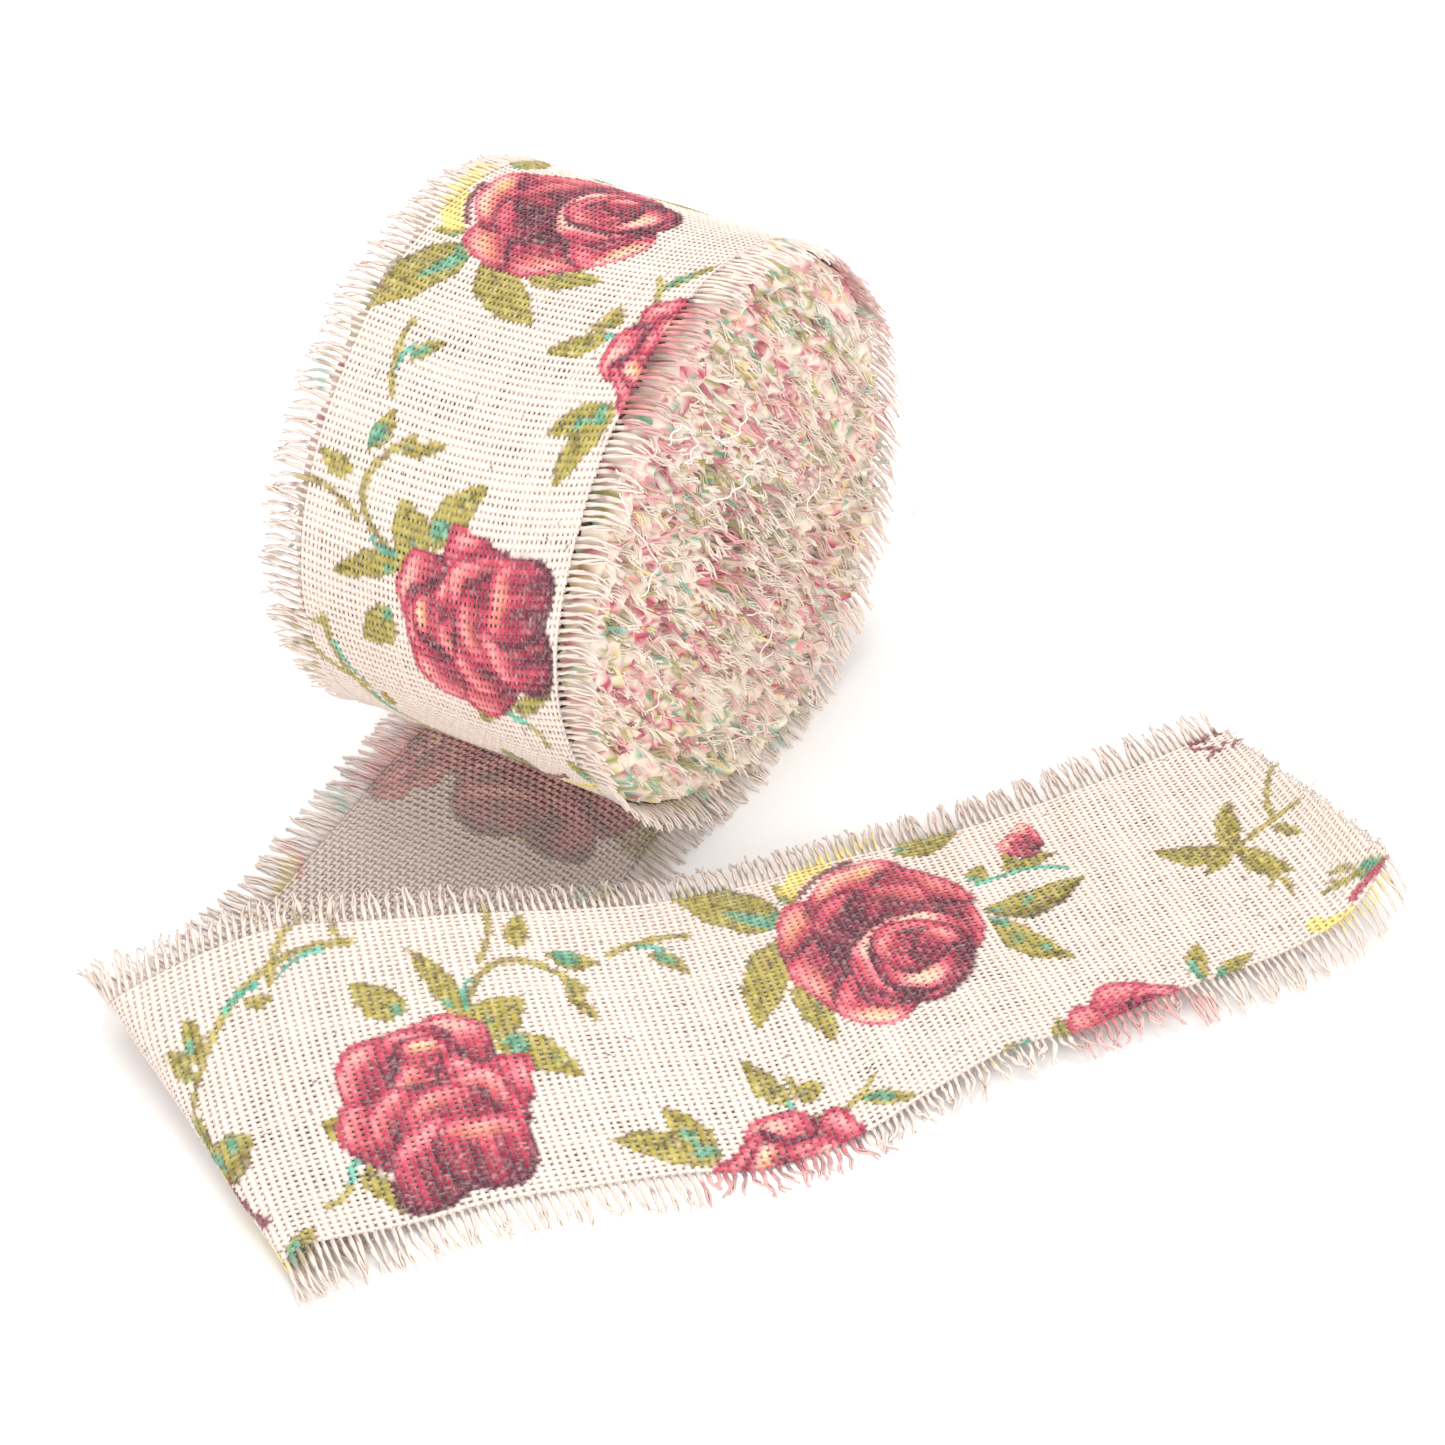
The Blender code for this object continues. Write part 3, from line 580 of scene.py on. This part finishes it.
def warps(yarns, grid, normal, dv, u, v, there, rows, wobble):
    """The yarns along the ribbon, over and under each weft."""
    for number in range(int(WIDTH / WARP_PITCH)):
        column = 2 * number + 1
        use = rows[there[rows, column]]
        weave = -CRIMP * np.sin(0.5 * math.pi * use) * (-1.0) ** number
        drift = 0.05 * rumple(u[use] / 7.0, number * 0.9, 11) + wobble * RNG.normal(0.0, 1.0)
        line = grid[use, column] + weave[:, None] * normal[use, column] + drift[:, None] * dv[use, column]
        wide = 0.5 * WARP_WIDE * (1.0 + 0.16 * rumple(u[use] / 2.2, number * 5.3, 12) + 0.06 * RNG.normal())
        yarns.add(line, normal[use, column], wide, WARP_THICK, u[use], v[column], RNG.normal(1.0, 0.025))


def wefts(yarns, grid, normal, du, u, v, there, rows, columns):
    """The yarns across the ribbon. rows are the odd half pitches that they lie on."""
    for row in rows:
        use = columns[there[row, columns]]
        if len(use) < 4:
            continue
        weave = CRIMP * np.sin(0.5 * math.pi * use) * (-1.0) ** (row // 2)
        drift = 0.09 * rumple(v[use] / 5.0, row * 0.35, 13) + 0.03 * RNG.normal()
        line = grid[row, use] + weave[:, None] * normal[row, use] + drift[:, None] * du[row, use]
        wide = 0.5 * WEFT_WIDE * (1.0 + 0.15 * rumple(v[use] / 2.0, row * 3.1, 14) + 0.07 * RNG.normal())
        yarns.add(line, normal[row, use], wide, WEFT_THICK, u[row], v[use], RNG.normal(1.0, 0.03))


# Fringes

def strand(yarns, root, out, along, normal, u, v0, v1, length, droop, sway, floor, plies, segments=6,
           fine=0.25, curl=0.0, dye=None, bare=0.5):
    """The plies of one frayed weft end. It leaves along out, bends down by droop and sideways by sway."""
    share = np.linspace(0.0, 1.0, segments + 1)
    phase = RNG.uniform(0.0, 2.0 * math.pi)
    wave, bend = RNG.uniform(5.0, 11.0), RNG.uniform(0.0, 2.0 * math.pi)
    for ply in range(plies):
        lean = sway + RNG.normal(0.0, 0.07)
        heading = [unit(out + lean * s * along - droop * s ** 1.3 * Z + 0.05 * RNG.normal() * normal) for s in share]
        steps = np.array(heading[:-1]) * (length / segments * RNG.uniform(0.86, 1.04))
        line = root + np.vstack([np.zeros(3), np.cumsum(steps, axis=0)])
        twist = phase + 2.0 * math.pi * ply / plies + 6.0 * share
        apart = (0.13 + 0.16 * share ** 2)[:, None]
        line = line + apart * (np.cos(twist)[:, None] * along + np.sin(twist)[:, None] * normal)
        swing = (curl * share)[:, None]
        line = line + swing * (np.sin(wave * share + bend)[:, None] * along
                               + np.cos(0.8 * wave * share + bend + ply)[:, None] * normal)
        line[:, 2] = np.maximum(line[:, 2], floor)
        wide = fine * (1.1 - 0.5 * share ** 2) * RNG.uniform(0.88, 1.12)
        yarns.add(line, normal, wide, wide, u, v0 + (v1 - v0) * share, RNG.normal(0.99, 0.035), dye,
                  bare * step(0.0, 0.7, share) + 0.1)


def edge_fringe(yarns, grid, normal, du, dv, u, v, there, rows, sign, droop, plies=2):
    """The frayed ends along one edge of the cloth."""
    column = 0 if sign < 0 else len(v) - 1
    for row in rows:
        if not there[row, column]:
            continue
        out = sign * dv[row, column]
        clump = 0.3 * math.sin(2.4 * row + 1.1 * math.sin(0.7 * row)) + 0.1 * RNG.normal()
        rumpled = sign > 0 and RUMPLED_U[0] < u[row] < RUMPLED_U[1]
        length = FRINGE * (RNG.uniform(0.45, 0.8) if rumpled else RNG.uniform(0.86, 1.04))
        clump = clump + (0.9 * math.sin(0.31 * row) + 0.5 * RNG.normal() if rumpled else 0.0)
        strand(yarns, grid[row, column] + 0.1 * RNG.normal() * du[row, column], out, du[row, column],
               normal[row, column], u[row], sign * 22.5, sign * (22.5 + FRINGE), length,
               droop(grid[row, column]), clump, 0.16, plies, curl=0.45 if rumpled else 0.12)


def cut_fringe(yarns, grid, normal, du, dv, u, v, there):
    """The short fuzz of warp ends at the cut, with a few longer threads."""
    for column in range(1, len(v), 2):
        row = int(np.argmax(there[:, column]))
        long = RNG.random() < 0.07
        length = RNG.uniform(3.0, 6.0) if long else RNG.uniform(0.5, 1.6)
        strand(yarns, grid[row, column], -du[row + 1, column], dv[row + 1, column], normal[row + 1, column], u[row],
               v[column], v[column], length, 0.3, RNG.normal(0.0, 0.5), 0.16, 2, 4, 0.08 if long else 0.13,
               0.3, None, 0.3)


# The roll's inner turns

def inner_place(angle):
    """How far out an inner turn lies, as a share, and its u, after an angle inwards from the outer turn's end."""
    share = 1.0 - 0.022 - (angle / (2.0 * math.pi)) / (INNER_TURNS + 0.55)
    gone = GIRTH / (2.0 * math.pi) * (0.978 * angle - angle * angle / (4.0 * math.pi * (INNER_TURNS + 0.55)))
    return share, gone


def build_winding(u_end, finish):
    """The inner turns as one spiral sheet."""
    angles = np.linspace(0.0, 2.0 * math.pi * INNER_TURNS, int(INNER_TURNS * 72))
    across = np.array([-22.4, -15.0, 0.0, 15.0, 22.4])
    points, where = [], []
    for angle in angles:
        share, gone = inner_place(angle)
        centre = roll_place(LAST_TURN - angle, 1.2, share)
        for v in across:
            points.append(centre + v * AXIS)
            where.append((u_end + gone, v))
    count = len(across)
    first = (np.arange(len(angles) - 1)[:, None] * count + np.arange(count - 1)[None, :]).ravel()
    faces = np.stack([first, first + count, first + count + 1, first + 1], axis=1)
    points = np.array(points)
    points[:, 2] = np.maximum(points[:, 2], CLOTH_LIFT + 0.9)
    where = np.array(where)
    colour, _ = printed(where[:, 0], where[:, 1])
    # the print times 0.9 is painted shade of the inner turns lying under the outer turn
    return make_mesh("winding", points, faces, colour * 0.9, where, finish)


def build_pile(name, end, u_end, finish, around, rings):
    """The matted thread ends between the turns at one end of the roll, as a rough low relief."""
    points, where = [], []
    for ring in range(rings + 1):
        share = 0.985 * (1.0 - ring / rings) + 0.004
        for place in range(around):
            turn = LAST_TURN - 2.0 * math.pi * place / around
            turns_in = (1.0 - share) * (INNER_TURNS + 0.55) - place / around
            near = 2.0 * math.pi * (round(turns_in) + place / around)
            ridge = math.cos(2.0 * math.pi * turns_in)
            _, gone = inner_place(max(near, 0.0))
            height = 25.6 + 0.75 * ridge + 0.5 * RNG.normal() - 1.4 * step(0.93, 1.0, np.float64(share)) * 2.0
            point = roll_place(turn, 1.0, share) + end * height * AXIS
            points.append(point)
            where.append((u_end + gone, end * (25.5 + 2.5 * ridge)))
    first, columns = np.meshgrid(np.arange(rings), np.arange(around), indexing="ij")
    after = (columns + 1) % around
    faces = np.stack([first * around + columns, first * around + after,
                      (first + 1) * around + after, (first + 1) * around + columns], axis=-1).reshape(-1, 4)
    if end > 0:
        faces = faces[:, ::-1]
    points, where = np.array(points), np.array(where)
    points[:, 2] = np.maximum(points[:, 2], 0.5)
    colour = np.array([speckle(place, end) for place in where[:, 0] - u_end])
    colour = colour * RNG.uniform(0.8, 1.0, len(where))[:, None]
    return make_mesh(name, points, faces, colour, where, finish)


SPECKLES = [("f6e9d8", 0.60), ("f0a3a8", 0.11), ("bf3f60", 0.09), ("aaa456", 0.09), ("6cb498", 0.04), ("eedf92", 0.04),
            ("e4bdb0", 0.05)]


def speckle(place, seed):
    """A thread end's colour: mostly bare, with the print's colours mixed in, in drifts."""
    drift = float(rumple(np.float64(place / 4.0), np.float64(seed), 61))
    lean = float(rumple(np.float64(place / 3.0), np.float64(seed), 62))
    shares = np.array([share for _, share in SPECKLES])
    shares[0] *= math.exp(-0.9 * drift)
    shares[1:3] *= math.exp(1.2 * lean)
    shares[3:5] *= math.exp(-1.2 * lean)
    return linear(SPECKLES[int(RNG.choice(len(shares), p=shares / shares.sum()))][0])


def end_fuzz(yarns, end, u_end, plies, segments):
    """The frayed ends of all inner turns at one end of the roll."""
    angle = 0.0
    while angle < 2.0 * math.pi * INNER_TURNS:
        share, gone = inner_place(angle)
        turn = LAST_TURN - angle
        radial = unit(ROLL_SQUASH * math.cos(turn) * UP + math.sin(turn) * SIDE)
        around = np.cross(AXIS, radial)
        swell = 1.6 * float(rumple(np.float64(angle / 5.0), np.float64(share * 6.0), 51))
        root = roll_place(turn, 1.2, share) + end * (22.3 + swell) * AXIS
        root[2] = max(root[2], 1.2)
        out = unit(end * AXIS + 0.3 * RNG.normal() * around + (0.13 * RNG.normal() - 0.1) * radial)
        strand(yarns, root, out, around, radial, u_end + gone, end * 22.5, end * 30.0,
               FRINGE * RNG.uniform(0.6, 1.1), 0.5 + 0.6 * RNG.random(), 0.5 * RNG.normal(), 0.16, plies, segments,
               0.2, 0.6, speckle(gone, end), 0.15)
        angle += WEFT_PITCH / (GIRTH / (2.0 * math.pi) * max(share, 0.08))


LOOSE_THREADS = [
    [(-28.6, 35.8, 35.7), (-25.4, 37.3, 36.2), (-22.7, 33.1, 36.3), (-24.7, 30.5, 35.4), (-20.9, 29.4, 35.0)],
    [(-19.9, 38.3, 36.4), (-18.1, 31.7, 36.1), (-13.9, 27.6, 35.0), (-10.2, 28.2, 35.6), (-6.5, 30.3, 34.8)],
    [(-20.1, 20.1, 33.6), (-12.2, 17.4, 33.4), (-7.3, 18.3, 33.9), (-2.9, 18.9, 33.4), (0.6, 19.5, 32.6)],
    [(-42.0, 40.0, 36.4), (-40.1, 30.2, 35.6), (-33.8, 19.1, 34.1), (-36.6, 13.9, 32.2)],
    [(-35.6, 3.1, 31.0), (-33.1, -5.3, 30.2), (-37.3, -7.0, 29.6)],
    [(-23.4, -22.1, 27.5), (-11.5, -30.0, 26.7), (-4.6, -33.4, 26.2), (2.8, -36.0, 25.0)],
    [(38.6, -9.4, 27.2), (44.5, -13.9, 27.3), (48.5, -20.5, 26.2), (47.7, -26.8, 25.6), (40.7, -28.6, 24.7)],
    [(10.0, 12.0, 31.0), (14.0, 6.0, 32.2), (9.0, 1.0, 31.6), (13.0, -4.0, 30.0)],
    [(-8.0, -8.0, 29.5), (-2.0, -12.0, 30.2), (-6.0, -18.0, 29.2), (0.0, -20.0, 28.0)],
]


def loose_thread(yarns, points, thick):
    """A pulled thread lying on the roll's end, through points given sideways, up and outwards."""
    points = np.array([CENTRE + side * SIDE + up * UP + out * AXIS for side, up, out in points])
    last = len(points) - 1
    line = []
    for index in range(last):
        a, b, c, d = points[max(index - 1, 0)], points[index], points[index + 1], points[min(index + 2, last)]
        for part in range(9):
            t = part / 9.0
            line.append(b + 0.5 * t * (c - a + t * (2 * a - 5 * b + 4 * c - d + t * (3 * (b - c) + d - a))))
    line = np.array(line)
    ripple = np.sin(np.arange(len(line)) * 1.1)[:, None] * 0.35
    yarns.add(line + ripple * AXIS, Z + 0.01 * AXIS, thick, thick, 0.0, 0.0, 1.0, linear("f6eee6"))


def build_cloth():
    """Every piece of the ribbon."""
    cloth, soft = yarn_material("burlap"), yarn_material("frayed_yarn", 0.3, 0.4)
    grid, normal, du, dv, u, v, there = weave_grid()
    last = len(u) - 1
    meet = 2 * int(LOOSE_END_U / WEFT_PITCH)
    coarse = 2 * int(ROLL_FRONT_U / WEFT_PITCH)
    pieces = {}
    fine_rows = np.arange(0, meet + 1)
    roll_rows = np.concatenate([np.arange(meet + 1, coarse, 2), np.arange(coarse + 1, last)])
    every = np.arange(len(v))
    odd = np.arange(1, len(v), 2)
    both = np.concatenate([[0], odd, [len(v) - 1]])
    yarns = Yarns()
    warps(yarns, grid, normal, dv, u, v, there, fine_rows, 0.02)
    pieces["tail_warp"] = yarns.mesh("tail_warp", cloth)
    yarns = Yarns()
    wefts(yarns, grid, normal, du, u, v, there, range(1, meet, 2), every)
    pieces["tail_weft"] = yarns.mesh("tail_weft", cloth)
    yarns = Yarns()
    warps(yarns, grid, normal, dv, u, v, there, roll_rows, 0.02)
    pieces["roll_warp"] = yarns.mesh("roll_warp", cloth)
    yarns = Yarns()
    wefts(yarns, grid, normal, du, u, v, there, range(meet + 1, coarse, 2), both)
    wefts(yarns, grid, normal, du, u, v, there, range(coarse + 1, last, 2), every)
    pieces["roll_weft"] = yarns.mesh("roll_weft", cloth)
    tail_rows = range(1, meet, 2)
    wound_rows = range(meet + 1, last, 2)

    def flat_droop(root):
        return 0.1 + 0.6 * min(max(root[2], 0.0) / 9.0, 1.0)

    for name, rows, sign, droop in (("fringe_left", tail_rows, -1, flat_droop),
                                    ("fringe_right", tail_rows, 1, flat_droop),
                                    ("rim_far", wound_rows, -1, lambda root: 0.42),
                                    ("rim_near", wound_rows, 1, lambda root: 0.85)):
        yarns = Yarns()
        edge_fringe(yarns, grid, normal, du, dv, u, v, there, rows, sign, droop)
        pieces[name] = yarns.mesh(name, soft)
    yarns = Yarns()
    cut_fringe(yarns, grid, normal, du, dv, u, v, there)
    pieces["cut_end"] = yarns.mesh("cut_end", soft)
    u_end = u[last]
    pieces["winding"] = build_winding(u_end, cloth)
    for name, end, plies, segments, around, rings in (("near", 1.0, 4, 5, 200, 50), ("far", -1.0, 2, 3, 120, 32)):
        pieces["pile_" + name] = build_pile("pile_" + name, end, u_end, soft, around, rings)
        yarns = Yarns()
        end_fuzz(yarns, end, u_end, plies, segments)
        pieces["fuzz_" + name] = yarns.mesh("fuzz_" + name, soft)
    yarns = Yarns()
    for number, points in enumerate(LOOSE_THREADS):
        loose_thread(yarns, points, 0.07 if number == 6 else 0.12)
    pieces["loose_threads"] = yarns.mesh("loose_threads", soft)
    return pieces


# Stage, light and camera

def build_stage():
    floor = bpy.data.meshes.new("floor")
    floor.from_pydata([(-6, -6, 0), (6, -6, 0), (6, 6, 0), (-6, 6, 0)], [], [(0, 1, 2, 3)])
    made = bpy.data.objects.new("floor", floor)
    bpy.context.scene.collection.objects.link(made)
    white = bpy.data.materials.new("paper_floor")
    white.use_nodes = True
    nodes, links = white.node_tree.nodes, white.node_tree.links
    nodes["Principled BSDF"].inputs["Roughness"].default_value = 0.9
    noise = nodes.new("ShaderNodeTexNoise")
    noise.inputs["Scale"].default_value = 3.0
    tone = nodes.new("ShaderNodeMapRange")
    tone.inputs[3].default_value = 0.93
    tone.inputs[4].default_value = 0.95
    links.new(noise.outputs["Fac"], tone.inputs[0])
    links.new(tone.outputs[0], nodes["Principled BSDF"].inputs["Base Color"])
    floor.materials.append(white)


def area_light(name, place, target, size, power, colour):
    data = bpy.data.lights.new(name, "AREA")
    data.shape, data.size, data.energy, data.color = "DISK", size, power, colour
    made = bpy.data.objects.new(name, data)
    made.location = place
    aim = np.array(target) - np.array(place)
    made.rotation_euler = mathutils.Vector(aim).to_track_quat("-Z", "Y").to_euler()
    bpy.context.scene.collection.objects.link(made)


def build_view():
    scene = bpy.context.scene
    scene.view_settings.view_transform = "Standard"
    world = bpy.data.worlds.new("studio")
    world.use_nodes = True
    world.node_tree.nodes["Background"].inputs["Color"].default_value = (1.0, 0.985, 0.975, 1.0)
    world.node_tree.nodes["Background"].inputs["Strength"].default_value = 0.95
    scene.world = world
    area_light("key", (-0.1, 0.25, 0.8), (0.0, -0.03, 0.0), 0.6, 3.5, (1.0, 0.98, 0.96))
    area_light("front", (0.35, -0.85, 0.3), (0.0, -0.03, 0.02), 0.5, 4.5, (1.0, 0.98, 0.97))
    data = bpy.data.cameras.new("camera")
    camera = bpy.data.objects.new("camera", data)
    bpy.context.scene.collection.objects.link(camera)
    tilt = math.radians(39.955)
    ahead = np.array([0.0, math.cos(tilt), -math.sin(tilt)])
    over = np.array([0.0, math.sin(tilt), math.cos(tilt)])
    place = np.array([18.856 - 5.44, 3.20, 0.0]) - 7.537 * over - 518.647 * ahead
    camera.location = place * MM
    camera.rotation_euler = (math.radians(90.0) - tilt, 0.0, 0.0)
    data.sensor_width = 36.0
    data.lens = 3193.04 / 1445.0 * 36.0
    data.clip_start, data.clip_end = 0.01, 20.0
    scene.camera = camera


build_stage()
build_view()
pieces = build_cloth()
for name, made in pieces.items():
    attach(made, "root")
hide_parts("ribbon_roll")
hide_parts("ribbon_roll")
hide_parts("ribbon_tail")
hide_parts("fringe_roll_near")
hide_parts("fringe_roll_far")
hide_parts("fringe_under_left", "fringe_fold_left", "fringe_back")
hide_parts("fringe_under_right", "fringe_front")
